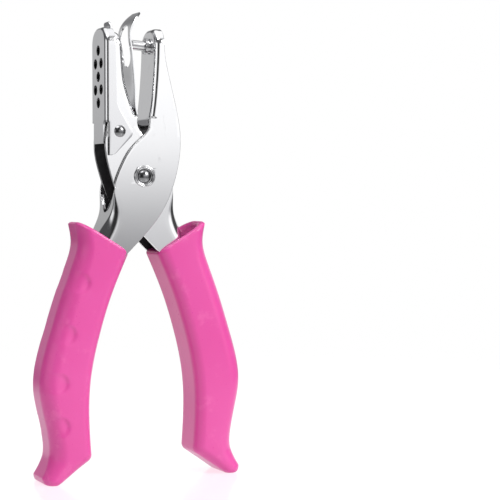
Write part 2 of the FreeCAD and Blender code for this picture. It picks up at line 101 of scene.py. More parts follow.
# Chip cover
COVER_SHEET, COVER_TOP, COVER_BEND = 0.7, 44.9, 1.25
TONGUE_TOP, TONGUE_END, TONGUE_HALF = 16.2, 9.8, 4.4
EAR_FOOT = 6.3
EAR_EDGE = [(COVER_LOW[0], EAR_FOOT), (-9.6, EAR_FOOT), (-3.1, 12.9), (-8.6, 21.3),
            (-9.1, COVER_TOP)]
EAR_RADII = [1.3, 2.0, 6.0]      # of the three corners between the ends
VENT_ROWS = (1, 2, 1, 2, 1)
VENT_RADIUS, VENT_PITCH = 1.55, 5.2
VENT_FIRST, VENT_STEP = 7.0, 3.95    # from the cover's top to the first row, and from row to row
TAB_X, TAB_CURL, TAB_HALF = -9.1, 0.5, 2.7

# Paper guide
LEAF_SHEET, LEAF_RAIL, LEAF_RIVET_Z = 0.5, 1.4, 20.6
SLOT = (33.2, 45.8)              # heights of the slot's ends
LEAF_TIP_HALF = 0.2              # half width that is left at the leaf's very tip

# Pin, collar and rivets
PIN_RADIUS = 1.5
CUT_DEPTH = 0.9                  # how far the closed pin stands in the die
DIE_BORE = 1.55
HEAD_RADIUS, HINGE_HEAD_RADIUS, RIVET_HEAD_RADIUS = 2.15, 1.8, 1.5
TURNED_EDGE = 0.05

# Return spring
COIL_RADIUS, COIL_HALF, WIRE_RADIUS = 3.45, 2.35, 0.5
COIL_TURNS, LEG_LENGTH = 4, 17
LEG_LEAN = math.radians(24)

# Studio brightness round the tool: (degrees from the front towards the right, grey)
BANDS = [(-180, 0.55), (-147, 0.5), (-137, 0.05), (-100, 0.05), (-86, 1.15), (-60, 1.2),
         (-50, 0.6), (-40, 0.04), (-10, 0.04), (-2, 0.6), (6, 1.12), (48, 1.2), (58, 0.9),
         (66, 0.06), (108, 0.06), (120, 0.8), (140, 0.8), (180, 0.55)]

# Edges of the arms, drawn for the arm whose jaw is on the right
PUNCH_WEB = [(1.9, WEB_FOOT), (2.45, 21.5), (3.05, 27.8), (3.45, 34.1), (3.75, JAW_TOP)]
DIE_WEB = [(1.9, WEB_FOOT), (2.75, 19.8), (4.0, 23.3), (5.35, 27.8), (5.95, 32.3), (6.25, 36.8),
           (6.65, 42.6), (6.8, 44.9)]
CROSS_FRONT = [(1.9, WEB_FOOT), (1.75, 15.3), (-3.2, 9.5), (-7.4, 2.8), (-9.5, -3.3),
               (-10.2, WEB_SHOULDER)]
CROSS_BACK = [(10.3, 0.7), (5.8, -10.5), (-1.0, -18.8), (-5.9, -23.7)]
PUNCH_BACK = [(6.6, JAW_TOP), (6.6, 37.7), (7.9, 30.5), (10.2, 21.1), (11.65, 11.2)]
DIE_EDGE = 11.2
DIE_BACK = [(DIE_EDGE, TONGUE_TOP), (11.75, 12.6), (11.95, 9.0)]
HANDLE_OUTER = [(-10.2, WEB_SHOULDER), (-12.6, -15.5), (-16.4, -22.6), (-19.8, -30.0),
                (-23.2, -40.0), (-26.4, -50.7), (-28.5, -58.9), (-28.7, -66.3),
                (-27.0, HANDLE_END)]
HANDLE_INNER = [(-5.9, -23.7), (-9.3, -30.4), (-12.1, -37.8), (-14.8, -47.0), (-17.5, -58.9),
                (-18.8, -69.1), (-18.5, HANDLE_END)]

# The paper guide from the side, foot to lip
LEAF = [(-1.6, 18.3), (-2.2, 21.2), (-2.35, 25.9), (-2.75, 32.0), (-3.4, 38.5), (-3.85, 43.2),
        (-3.3, 45.4), (-1.9, 47.6), (0.0, 49.6)]

# Grips, drawn for the palm grip; the finger grip is its mirror image
GRIP_OUTER = [(20.9, -14.3), (20.1, -19.8), (21.7, -26.2), (25.0, -35.0), (28.5, -45.8),
              (31.5, -56.6), (32.2, -63.1), (31.3, -69.5), (29.5, -78.3), (29.2, -82.9),
              (30.75, -88.0), (31.8, -89.9)]
GRIP_INNER = [(5.0, -24.1), (10.1, -36.1), (13.7, -47.4), (16.6, -61.2), (17.1, -71.8),
              (16.4, -84.8)]
GRIP_SOLE = [(27.05, -92.1), (30.4, -92.1)]
GRIP_TIP = [(31.7, -90.6), (31.2, -91.7), GRIP_SOLE[1]]
HEEL_RADIUS, TOE_START = 2.4, -80.0      # the outer line's toe begins at this height
ROUND_IN, ROUND_OUT = 3.2, 5.0           # corner radii of a section's inner and outer side
FACE_SWELL, SOLE_ROUNDING = 0.07, 1.2
LIP, HOLLOW_ROWS = 1.1, 36               # lip's radius, and rows that the hollow goes down
DIMPLE_DEPTH, DIMPLE_HALF, DIMPLE_FADE = 0.9, 3.1, 2.4
DIMPLE_EDGE, DIMPLE_CURVE, DIMPLE_SOFT = -1.3, 0.19, 0.38
DIMPLES = [(19.3, -32.2), (23.7, -47.4), (26.1, -61.7), (25.8, -74.6)]


# ---------------------------------------------------------------- curves and surfaces

def smooth_line(points, count):
    """Natural cubic spline through the points, by chord length, as count places along it."""
    p = np.array(points, float)
    if len(p) == 2:
        return p[0] + (p[1] - p[0]) * np.linspace(0, 1, count)[:, None]
    t = np.concatenate(([0], np.cumsum(np.linalg.norm(np.diff(p, axis=0), axis=1))))
    h = np.diff(t)
    n = len(p)
    a = np.eye(n)
    rhs = np.zeros_like(p)
    slope = np.diff(p, axis=0) / h[:, None]
    rows = np.arange(1, n - 1)
    a[rows, rows - 1], a[rows, rows], a[rows, rows + 1] = h[:-1], 2 * (h[:-1] + h[1:]), h[1:]
    rhs[1:-1] = 6 * np.diff(slope, axis=0)
    bend = np.linalg.solve(a, rhs)
    s = np.linspace(0, t[-1], count)
    k = np.clip(np.searchsorted(t, s, side="right") - 1, 0, n - 2)
    d, hk = (s - t[k])[:, None], h[k][:, None]
    first = slope[k] - hk * (2 * bend[k] + bend[k + 1]) / 6
    return p[k] + first * d + bend[k] * d ** 2 / 2 + (bend[k + 1] - bend[k]) * d ** 3 / (6 * hk)


def across_at(lines, z):
    """x of an upright line at the heights z. The line is a chain of smooth runs."""
    chain = np.vstack([smooth_line(run, 200) for run in lines])
    order = np.argsort(chain[:, 1], kind="stable")
    return np.interp(z, chain[order, 1], chain[order, 0])


def grid_quads(rows, columns, start=0):
    """Corner numbers of a grid's faces, for points numbered row by row from start."""
    index = start + np.arange(rows * columns).reshape(rows, columns)
    return np.stack([index[:-1, :-1], index[1:, :-1], index[1:, 1:], index[:-1, 1:]], axis=-1)


def add_object(name, data):
    obj = bpy.data.objects.new(name, data)
    bpy.context.scene.collection.objects.link(obj)
    return obj


def grid_object(name, grid, closed):
    """An object with one grid of points, in metres, as its mesh."""
    mesh = bpy.data.meshes.new(name)
    faces = grid_quads(*grid.shape[:2]).reshape(-1, 4)
    mesh.from_pydata(grid.reshape(-1, 3).tolist(), [], faces.tolist())
    weld(mesh, closed)
    return add_object(name, mesh)


def make_piece(name, grids, body, node, material,
               mirror_x=False, mirror_y=False, closed=False):
    """One mesh from grids of points (rows, columns, xyz), welded where the grids meet.

    A face's outward side is (along the rows) x (along the columns). mirror_y adds each grid again
    with y turned round, and mirror_x turns x round, both with the faces kept outward.
    """
    points, faces, start = [], [], 0
    for grid in grids:
        for turned in (False, True) if mirror_y else (False,):
            rows, columns = grid.shape[:2]
            quads = grid_quads(rows, columns, start)
            faces.append((quads[..., ::-1] if turned else quads).reshape(-1, 4))
            points.append((grid * (1, -1, 1) if turned else grid).reshape(-1, 3))
            start += rows * columns
    points, faces = np.vstack(points), np.vstack(faces)
    if mirror_x:
        points, faces = points * (-1, 1, 1), faces[:, ::-1]
    mesh = bpy.data.meshes.new(name)
    mesh.from_pydata(((points + (0, 0, PIVOT_Z)) * MM).tolist(), [], faces.tolist())
    weld(mesh, closed)
    mesh.materials.append(material)
    mesh.polygons.foreach_set("use_smooth", np.ones(len(mesh.polygons), bool))
    obj = add_object(name, mesh)
    if body:
        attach(obj, body)
    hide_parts(node)
    return obj


def weld(mesh, closed):
    """Joins points that coincide, drops faces that closed up, and turns a closed skin outward."""
    bm = bmesh.new()
    bm.from_mesh(mesh)
    bmesh.ops.remove_doubles(bm, verts=bm.verts, dist=2e-6)
    bmesh.ops.dissolve_degenerate(bm, edges=bm.edges, dist=1e-6)
    loose = [point for point in bm.verts if not point.link_faces]
    bmesh.ops.delete(bm, geom=loose, context="VERTS")
    if closed:
        bmesh.ops.recalc_face_normals(bm, faces=bm.faces)
    bm.to_mesh(mesh)
    bm.free()


def cut(obj, rods):
    """Bores round holes. Each rod is the two ends of its axis, (x, y, z), and its radius.

    The bored shape, with all modifiers so far, replaces the mesh.
    """
    cutters = []
    for start, end, radius in rods:
        along = np.array(end, float) - np.array(start, float)
        length = np.linalg.norm(along)
        profile = [(0, 0), (radius, 0), (radius, length), (0, length)]
        grid = (lathe(profile, start, along, 48) + (0, 0, PIVOT_Z)) * MM
        cutter = grid_object("cutter", grid, True)
        bore = obj.modifiers.new("bore", "BOOLEAN")
        bore.object = cutter
        bore.solver = "EXACT"
        bore.use_self = True
        cutters.append(cutter)
    bpy.context.view_layer.update()
    evaluated = obj.evaluated_get(bpy.context.evaluated_depsgraph_get())
    bored = bpy.data.meshes.new_from_object(evaluated)
    bored.name = obj.data.name
    obj.modifiers.clear()
    obj.data = bored
    for cutter in cutters:
        mesh = cutter.data
        bpy.data.objects.remove(cutter)
        bpy.data.meshes.remove(mesh)


def sheet_metal(obj, thickness, inside=None, rods=(), edge=0.18, offset=-1):
    """Gives a surface its thickness, painted shade on its inside if given, holes and softly rounded
    edges.
    """
    solid = obj.modifiers.new("thickness", "SOLIDIFY")
    solid.thickness = thickness * MM
    solid.offset = offset
    solid.use_even_offset = True
    if inside:
        obj.data.materials.append(inside)
        solid.material_offset = 1
    cut(obj, rods)
    round_edges(obj, edge, finish=CUT_EDGE)
    return obj


def round_edges(obj, width, finish=None):
    """Rounds the sharp edges, in a finish of their own if one is given, and evens the shading."""
    bevel = obj.modifiers.new("edges", "BEVEL")
    bevel.width = width * MM
    bevel.segments = 2
    bevel.limit_method = "ANGLE"
    bevel.angle_limit = math.radians(40)
    bevel.use_clamp_overlap = True
    if finish:
        obj.data.materials.append(finish)
        bevel.material = len(obj.data.materials) - 1
    weighted = obj.modifiers.new("shading", "WEIGHTED_NORMAL")
    weighted.keep_sharp = True


def lathe(profile, centre, direction, count=64):
    """Profile of (radius, distance along the axis) turned round an axis.

    point = centre + axis * distance + (side * cos a + up * sin a) * radius
    """
    axis = np.array(direction, float) / np.linalg.norm(direction)
    side = np.cross(axis, (0.3, 0.2, 1.0))
    side /= np.linalg.norm(side)
    up = np.cross(axis, side)
    p = np.array(profile, float)
    a = np.linspace(0, 2 * math.pi, count + 1)[None, :, None]
    ring = side * np.cos(a) + up * np.sin(a)
    return np.array(centre, float) + axis * p[:, 1, None, None] + ring * p[:, 0, None, None]


def arc_profile(centre, radius, start, end, count=8):
    """Points of a profile's rounded corner, angles in degrees."""
    a = np.radians(np.linspace(start, end, count))
    return [(centre[0] + radius * math.cos(t), centre[1] + radius * math.sin(t)) for t in a]


# ---------------------------------------------------------------- finishes

class Socket:
    """A shader socket that adds, subtracts and multiplies by adding Math nodes."""

    def __init__(self, tree, link):
        self.tree, self.link = tree, link

    def math(self, operation, *values):
        return self.tree.add("ShaderNodeMath", {"operation": operation}, *values)

    def __add__(self, other):
        return self.math("ADD", self, other)

    def __mul__(self, other):
        return self.math("MULTIPLY", self, other)

    def __sub__(self, other):
        return self.math("SUBTRACT", self, other)

    def __rsub__(self, other):
        return self.math("SUBTRACT", other, self)

    __radd__ = __add__
    __rmul__ = __mul__

    def clamped(self, low, high):
        """Rises smoothly from 0 at low to 1 at high."""
        settings = {"interpolation_type": "SMOOTHSTEP"}
        return self.tree.add("ShaderNodeMapRange", settings, self, low, high, 0, 1)


class Nodes:
    """A node tree to which nodes are added by type, settings and input values."""

    def __init__(self, tree):
        self.tree = tree

    def put(self, target, value):
        if isinstance(value, Socket):
            self.tree.links.new(value.link, target)
        elif value is not None:
            target.default_value = value

    def add(self, kind, settings, *inputs, output=0, **named):
        node = self.tree.nodes.new(kind)
        for key, value in settings.items():
            setattr(node, key, value)
        for target, value in zip(node.inputs, inputs):
            self.put(target, value)
        for key, value in named.items():
            self.put(node.inputs[key.replace("_", " ")], value)
        return Socket(self, node.outputs[output])

    def mix(self, factor, low, high, way="MIX"):
        """Colour that goes from low to high as the factor goes from 0 to 1."""
        node = self.tree.nodes.new("ShaderNodeMix")
        node.data_type, node.blend_type = "RGBA", way
        self.put(node.inputs[0], factor)
        self.put(node.inputs[6], low)
        self.put(node.inputs[7], high)
        return Socket(self, node.outputs[2])


class Finish(Nodes):
    """One procedural material, laid out in the object's own coordinates."""

    def __init__(self, name):
        self.material = bpy.data.materials.new(name)
        self.material.use_nodes = True
        super().__init__(self.material.node_tree)
        self.shader = self.tree.nodes["Principled BSDF"]
        self.place = self.add("ShaderNodeTexCoord", {}, output="Object")

    def noise(self, scale, detail=3.0, roughness=0.5, stretch=(1, 1, 1)):
        spot = self.add("ShaderNodeVectorMath", {"operation": "MULTIPLY"}, self.place, stretch)
        return self.add("ShaderNodeTexNoise", {}, Vector=spot, Scale=scale, Detail=detail,
                        Roughness=roughness)

    def bump(self, value, distance, strength=1.0, base=None):
        inputs = {"Strength": strength, "Distance": distance, "Height": value}
        if base is not None:
            inputs["Normal"] = base
        return self.add("ShaderNodeBump", {}, **inputs)

    def finish(self, constants, **varying):
        """Sets the shader's inputs: fixed values by their names, and sockets with _ for a space."""
        for key, value in constants.items():
            self.shader.inputs[key].default_value = value
        for key, value in varying.items():
            self.put(self.shader.inputs[key.replace("_", " ")], value)
        return self.material


def bright_plating(name, painted_shade_tone):
    """Bright nickel on rolled steel: faint rolling lines, soft clouding and sparse handling marks.

    The colour darkens to the given tone from a little above the pivot down to the grip: painted
    shade.
    """
    f = Finish(name)
    grain = f.noise(2600, 2, 0.5, (1, 1, 0.06))
    cloud = f.noise(70, 4)
    marks = f.noise(420, 6, 0.7, (1, 1, 0.35)).clamped(0.60, 0.72)
    roughness = 0.085 + cloud * 0.05 + marks * 0.07 + grain * 0.02
    tone = f.mix(cloud, (0.86, 0.865, 0.875, 1), (0.93, 0.93, 0.935, 1))
    marked = f.mix(marks * 0.35, tone, (0.70, 0.70, 0.71, 1))
    # Painted shade: the colour darkens from a little above the pivot down to the grip
    height = f.add("ShaderNodeSeparateXYZ", {}, f.place, output=2)
    painted_shade_fade = height.clamped((PIVOT_Z - 32) * MM, (PIVOT_Z + 14) * MM)
    tint = f.mix(painted_shade_fade, (painted_shade_tone, painted_shade_tone, painted_shade_tone * 1.01, 1), marked)
    relief = grain * 0.25 + cloud
    rounded = f.add("ShaderNodeBevel", {"samples": 6}, Radius=0.22 * MM)
    return f.finish({"Metallic": 1.0}, Base_Color=tint, Roughness=roughness,
                    Normal=f.bump(relief, 0.00001, 0.18, rounded))


def satin_sheet():
    """Satin nickel of the cover and the leaf: even grey with fine upright grain."""
    f = Finish("satin_sheet")
    grain = f.noise(3000, 3, 0.6, (1, 1, 0.04))
    cloud = f.noise(90, 3)
    tone = f.mix(cloud * 0.6 + grain * 0.4, (0.76, 0.765, 0.775, 1), (0.86, 0.86, 0.87, 1))
    return f.finish({"Metallic": 1.0}, Base_Color=tone,
                    Roughness=0.12 + cloud * 0.06 + grain * 0.03,
                    Normal=f.bump(grain, 0.00001, 0.2))


def painted_shade_inside():
    """Painted shade on the unpolished inside of the folded steel: nearly black, rough and streaked.
    """
    f = Finish("painted_shade_inside")
    cloud = f.noise(260, 5, 0.6)
    streak = f.noise(900, 3, 0.6, (1, 1, 0.15))
    # Painted shade: a nearly black colour for an inside that only lies in shade
    tone = f.mix(cloud, (0.035, 0.035, 0.037, 1), (0.13, 0.13, 0.135, 1))
    return f.finish({"Metallic": 0.85}, Base_Color=tone, Roughness=0.42 + streak * 0.2,
                    Normal=f.bump(cloud + streak * 0.4, 0.00002, 0.5))


def cut_edge():
    """Sheared and tumbled edge of the sheet, under thin plating: grey and slightly torn."""
    f = Finish("cut_edge")
    tear = f.noise(1400, 3, 0.6)
    tone = f.mix(tear, (0.22, 0.22, 0.225, 1), (0.42, 0.42, 0.43, 1))
    return f.finish({"Metallic": 1.0}, Base_Color=tone, Roughness=0.26 + tear * 0.14,
                    Normal=f.bump(tear, 0.00001, 0.3))


def ground_steel():
    """Turned and ground tool steel with fine turning rings."""
    f = Finish("ground_steel")
    rings = f.noise(5200, 2, 0.5)
    cloud = f.noise(300, 3)
    tone = f.mix(cloud, (0.50, 0.50, 0.51, 1), (0.72, 0.72, 0.73, 1))
    return f.finish({"Metallic": 1.0}, Base_Color=tone, Roughness=0.07 + rings * 0.10,
                    Normal=f.bump(rings, 0.000008, 0.4))


def rivet_steel():
    """Peened rivet steel, darker, with soft hammer marks."""
    f = Finish("rivet_steel")
    dents = f.noise(700, 3)
    tone = f.mix(dents, (0.17, 0.17, 0.175, 1), (0.36, 0.36, 0.37, 1))
    return f.finish({"Metallic": 1.0}, Base_Color=tone, Roughness=0.14 + dents * 0.12,
                    Normal=f.bump(dents, 0.00005, 0.35))


def pink_vinyl():
    """Glossy dipped vinyl: deeper pink in slow clouds, orange-peel skin and dull rubbed spots."""
    f = Finish("pink_vinyl")
    cloud = f.noise(38, 3)
    peel = f.noise(1300, 2, 0.5)
    rub = f.noise(160, 5, 0.65).clamped(0.56, 0.72)
    tone = f.mix(cloud, (0.68, 0.062, 0.31, 1), (0.76, 0.100, 0.385, 1))
    colour = f.mix(rub * 0.25, tone, (0.88, 0.22, 0.50, 1))
    roughness = 0.26 + rub * 0.14 + peel * 0.05
    return f.finish({"Subsurface Weight": 0.12, "Subsurface Radius": (1.0, 0.35, 0.5),
                     "Subsurface Scale": 0.0015, "Specular IOR Level": 0.4, "Coat Roughness": 0.12},
                    Base_Color=colour, Roughness=roughness, Coat_Weight=0.16 - rub * 0.1,
                    Normal=f.bump(peel + cloud * 0.5, 0.00003, 0.18))


# Both platings carry painted shade towards the grip, the punch arm's far darker
PLATING = bright_plating("bright_plating", 0.90)
SHADED_PLATING = bright_plating("painted_shade_plating", 0.50)
SATIN = satin_sheet()
# Nearly black painted shade for the inside of the folded sheet pieces
SHADED_INSIDE = painted_shade_inside()
CUT_EDGE = cut_edge()
GROUND = ground_steel()
RIVET = rivet_steel()
VINYL = pink_vinyl()


# ---------------------------------------------------------------- folded sheet pieces

def spread(x, y, z):
    """A grid of points from x, y and z, each a full grid or one row or column of it."""
    return np.stack(np.broadcast_arrays(x, y, z), -1)


def tray_rows(foot, top, half, crown):
    """Rim of one side of a jaw: up the side, round the crown, along the top to the middle.

    Gives (y, z) of the rim and its inward normal, and the number of rows up to the crown's end.
    """
    up, flat_rows = 36, 6
    side = np.linspace(foot, top - crown, up)
    turn = np.radians(np.linspace(0, 90, 18)[1:])
    flat = np.linspace(half - crown, 0, flat_rows + 1)[1:]
    y = np.concatenate((np.full(up, half), half - crown + crown * np.cos(turn), flat))
    z = np.concatenate((side, top - crown + crown * np.sin(turn), np.full(flat_rows, top)))
    ny = np.concatenate((np.full(up, -1.0), -np.cos(turn), np.zeros(flat_rows)))
    nz = np.concatenate((np.zeros(up), -np.sin(turn), np.full(flat_rows, -1.0)))
    return y, z, ny, nz, up + len(turn)


def tray(web_at, edge_at, foot, top, half, crown, bend, shares):
    """Half of a jaw: flange from the open edge to the bend, round the bend, and in over the web.

    point = rim point, moved in along the rim's normal by bend * (1 - cos b), at
    x = web + bend * (1 - sin b), for b from the flange to the web. shares are the places of the
    web's columns, as shares of its half width.
    """
    y, z, ny, nz, web_rows = tray_rows(foot, top, half, crown)
    x_edge, x_bend = edge_at(z), web_at(z) + bend
    x = x_edge[:, None] + (x_bend - x_edge)[:, None] * PLATE_COLUMNS
    flange = spread(x, y[:, None], z[:, None])
    b = np.radians(np.linspace(0, 90, 9))[1:]
    inward = bend * (1 - np.cos(b))
    yb, zb = y[:, None] + ny[:, None] * inward, z[:, None] + nz[:, None] * inward
    turned = spread(web_at(zb) + bend * (1 - np.sin(b)), np.maximum(yb, 0), zb)
    y_in, z_in = yb[:web_rows, -1:], zb[:web_rows, -1:]
    web = spread(web_at(z_in), y_in * shares, z_in)
    return np.concatenate((flange, turned), axis=1), web


def handle_channel(outer_at, inner_at, half, bend, dip):
    """Half of a handle channel: plate, bend and web by level cuts.

    The bend grows from nothing at the web's top to its full radius BEND_GROWTH lower, as
    3 t^2 - 2 t^3. The web's top edge dips in the middle, by dip * fade * (1 - (y / half)^2), where
    fade falls to 0 over DIP_FADE.
    """
    z = WEB_TOP + (HANDLE_END - WEB_TOP) * np.linspace(0, 1, 72) ** 1.25
    x_in, x_out = inner_at(z), outer_at(z)
    grow = np.clip((WEB_TOP - z) / BEND_GROWTH, 0, 1)
    radius = (SLIGHT + (bend - SLIGHT) * grow ** 2 * (3 - 2 * grow))[:, None]
    x = x_in[:, None] + (x_out[:, None] + radius - x_in[:, None]) * PLATE_COLUMNS
    plate = spread(x, half, z[:, None])
    b = np.radians(np.linspace(0, 90, 13))[1:]
    flat = np.linspace(1, 0, 12)[1:]
    y = np.concatenate((half - radius * (1 - np.cos(b)), (half - radius) * flat), axis=1)
    fade = (np.clip(1 - (WEB_TOP - z) / DIP_FADE, 0, 1) ** 2)[:, None]
    dipped = z[:, None] - dip * fade * (1 - (y / half) ** 2)
    round_share = np.concatenate((1 - np.sin(b), np.zeros(len(flat))))
    web = spread(outer_at(dipped) + radius * round_share, y, dipped)
    return np.concatenate((plate, web), axis=1)


def crossing_plate(front_at, back_at, half, first):
    """Flat plate between the jaw and the handle, by level cuts.

    Its columns meet the jaw's flange above and the handle's plate below. One more strip, first wide
    at the jaw and SLIGHT at the handle, runs to the front edge.
    """
    rows = 60
    z = np.linspace(WEB_FOOT, WEB_TOP, rows)
    strip = np.linspace(first, SLIGHT, rows)
    x_back, x_front = back_at(z), front_at(z)
    x = x_back[:, None] + (x_front + strip - x_back)[:, None] * np.append(PLATE_COLUMNS, 1.0)
    x[:, -1] = x_front
    return spread(x, half, z[:, None])


def arm_grids(half, top, web_line, back_lines):
    """Half of an arm whose jaw is on the right: jaw, web, curled toe, crossing and handle."""
    web_at = lambda z: across_at([web_line], z)
    back_at = lambda z: across_at(back_lines + [HANDLE_INNER], z)
    front_at = lambda z: across_at([CROSS_FRONT + HANDLE_OUTER[1:]], z)
    jaw, web = tray(web_at, back_at, WEB_FOOT, top, half, half - CROWN_FLAT, JAW_BEND,
                    np.linspace(1, 0, 7))
    cross = crossing_plate(front_at, back_at, half, JAW_BEND)
    handle = handle_channel(front_at, back_at, half, HANDLE_BEND, WEB_DIP)
    t = np.linspace(0, 1, 10)[:, None]
    narrowing = 1 - 0.12 * t ** 2
    toe = spread(web_at(WEB_FOOT) + TOE_CURL * t ** 2, web[0, :, 1] * narrowing,
                 WEB_FOOT - TOE_DROP * t)
    return [jaw[:, ::-1], web[:, ::-1], toe, cross, handle]


def closed_pin_place():
    """Where the pin's axis meets the die face when the tool is closed, and the way out of it."""
    lean = math.radians(DIE_LEAN)
    face = np.array([-across_at([DIE_WEB], PIN_HEIGHT), 0, PIN_HEIGHT])
    return face, np.array([math.cos(lean), 0, math.sin(lean)])


def opened(vector):
    """A place on the closed punch arm, turned back to the open tool."""
    c, s = math.cos(CLOSING), math.sin(CLOSING)
    return np.array([vector[0] * c + vector[2] * s, vector[1], vector[2] * c - vector[0] * s])


def across(x, z, radius):
    """Bore along y through both sides of a piece."""
    return (x, -BORE_REACH, z), (x, BORE_REACH, z), radius


def punch_arm():
    grids = arm_grids(PUNCH_HALF, JAW_TOP, PUNCH_WEB, [PUNCH_BACK + CROSS_BACK])
    arm = make_piece("punch_arm_steel", grids, "punch_side", "punch_arm",
                     SHADED_PLATING, mirror_y=True)
    return sheet_metal(arm, SHEET, SHADED_INSIDE, [across(0, 0, BUSH_RADIUS)])


def die_arm():
    back = [[(DIE_EDGE, DIE_TOP), (DIE_EDGE, TONGUE_TOP)], DIE_BACK + CROSS_BACK]
    grids = arm_grids(DIE_HALF, DIE_TOP, DIE_WEB, back)
    arm = make_piece("die_arm_steel", grids, "die_side", "die_arm", PLATING,
                     mirror_x=True, mirror_y=True)
    face, out = closed_pin_place()
    bores = [across(0, 0, BUSH_RADIUS + BORE_PLAY), (face - out * 4, face + out * 4, DIE_RADIUS)]
    return sheet_metal(arm, SHEET, SHADED_INSIDE, bores)


def rounded_chain(corners, radii, count=10):
    """Points of a chain of straight runs whose inner corners are rounded by tangent arcs."""
    chain = [np.array(corners[0], float)]
    for before, corner, after, radius in zip(corners, corners[1:], corners[2:], radii):
        before, corner, after = (np.array(point, float) for point in (before, corner, after))
        back = (before - corner) / np.linalg.norm(before - corner)
        ahead = (after - corner) / np.linalg.norm(after - corner)
        half = math.acos(np.dot(back, ahead)) / 2
        centre = corner + (back + ahead) / np.linalg.norm(back + ahead) * radius / math.sin(half)
        start = corner + back * radius / math.tan(half)
        end = corner + ahead * radius / math.tan(half)
        for share in np.linspace(0, 1, count):
            spoke = (start - centre) * (1 - share) + (end - centre) * share
            chain.append(centre + spoke / np.linalg.norm(spoke) * radius)
    chain.append(np.array(corners[-1], float))
    return np.array(chain)


def chip_cover():
    """Folded lid: vented face, two cheeks that widen into ears, and a tongue between two slits."""
    face = COVER_LOW[0]
    edge = rounded_chain(EAR_EDGE, EAR_RADII)
    edge_at = lambda z: np.interp(z, edge[:, 1], edge[:, 0])
    shares = np.array([1, TONGUE_HALF / (COVER_HALF - COVER_BEND), 0.6, 0.4, 0.2, 0])
    crown = COVER_HALF - CROWN_FLAT
    cheek, front = tray(lambda z: np.full_like(z, face), edge_at, TONGUE_TOP, COVER_TOP, COVER_HALF,
                        crown, COVER_BEND, shares)
    z = np.linspace(TONGUE_TOP, EAR_FOOT, 40)[:, None]
    ear = spread(edge_at(z) + (face + COVER_BEND - edge_at(z)) * PLATE_COLUMNS, COVER_HALF, z)
    z = np.linspace(TONGUE_TOP, TONGUE_END, 8)[:, None]
    tongue = spread(face, (COVER_HALF - COVER_BEND) * shares[1:], z)
    grids = [cheek[:, ::-1], front[:, ::-1], ear, tongue]
    cover = make_piece("chip_cover_shell", grids, "chip_lid", "chip_cover", SATIN,
                       mirror_y=True)
    bores = [across(*HINGE, HINGE_RADIUS + BORE_PLAY)]
    for row, count in enumerate(VENT_ROWS):
        for k in range(count):
            y = (k - (count - 1) / 2) * VENT_PITCH
            z = COVER_TOP - VENT_FIRST - row * VENT_STEP
            bores.append(((face - 2, y, z), (face + 2, y, z), VENT_RADIUS))
    return sheet_metal(cover, COVER_SHEET, SHADED_INSIDE, bores, edge=0.1)


def cover_tab():
    """Thumb tab that stands on the cover's crown, curled a little away from the face."""
    t = np.linspace(0, 1, 14)[:, None]
    z = COVER_TOP - 0.4 + (COVER_HIGH[2] - COVER_TOP + 0.2) * t
    half = TAB_HALF * np.sqrt(1 - np.clip((t - 0.55) / 0.5, 0, 0.95) ** 2)
    grid = spread(TAB_X - TAB_CURL * t ** 2, half * np.linspace(-1, 1, 11), z)
    tab = make_piece("chip_cover_tab", [grid], "chip_lid", "chip_cover", SATIN)
    return sheet_metal(tab, COVER_SHEET, edge=0.14, offset=0)


def paper_guide():
    """Spring leaf: two rails beside a slot, joined at the foot and at the lip that turns back.

    The slot's ends are half rounds, and the lip's outline is tip * (1 - over^2.8)^(1 / 2.4).
    """
    (foot, low_end), (high_end, top) = (LEAF[0][1], SLOT[0]), (SLOT[1], LEAF[-1][1])
    ends = 0.5 - 0.5 * np.cos(np.linspace(0, math.pi, 60))
    z = np.concatenate((np.linspace(foot, low_end, 30)[:-1], low_end + (high_end - low_end) * ends,
                        np.linspace(high_end, top, 16)[1:]))
    round_end, tip = LEAF_HALF - LEAF_RAIL, LEAF_HALF - LEAF_TIP_HALF
    reach = np.clip(np.minimum(z - low_end, high_end - z), 0, round_end)
    inner = np.sqrt(round_end ** 2 - (round_end - reach) ** 2)
    over = np.clip((z - (top + LEAF_SHEET - tip)) / tip, 0, 0.98)
    outer = LEAF_TIP_HALF + tip * (1 - over ** 2.8) ** (1 / 2.4)
    outer = np.maximum(outer, inner + 0.1)
    y = inner[:, None] + (outer - inner)[:, None] * PLATE_COLUMNS
    grid = spread(across_at([LEAF], z)[:, None], y, z[:, None])
    leaf = make_piece("paper_guide_leaf", [grid], "die_side", "paper_guide", SATIN,
                      mirror_y=True)
    return sheet_metal(leaf, LEAF_SHEET, edge=0.08, offset=0)


# ---------------------------------------------------------------- turned pieces and the spring

def turned_piece(node, profile, centre, direction, body, material):
    """The piece of one turned node, from its profile of (radius, distance along the axis)."""
    grid = lathe(profile, centre, direction)
    piece = make_piece(node + "_turned", [grid], body, node, material, closed=True)
    round_edges(piece, TURNED_EDGE)
    return piece


def both_ends(half):
    """Profile of a pin with two equal ends, from that of its half beyond the middle."""
    return [(r, -y) for r, y in half[::-1]] + half


def pivot_bush(node, side):
    """Flanged bush with a rolled rim round the pin's head, at the front (side -1) or rear (1)."""
    face, inner = PUNCH_HALF, DIE_HALF - SHEET
    rim = arc_profile((3.05, face + 0.32), 0.25, 0, 170, 10) + [(2.78, face + 0.2)]
    rim += arc_profile((2.6, face + 0.34), 0.17, 10, 180, 8)
    profile = [(2.0, inner), (BUSH_RADIUS, inner), (BUSH_RADIUS, face), (3.3, face)] + rim
    profile += [(2.45, face + 0.22), (2.4, face - 0.3), (2.0, face - 0.3), (2.0, inner)]
    return turned_piece(node, profile, (0, 0, 0), (0, side, 0), "punch_side", GROUND)


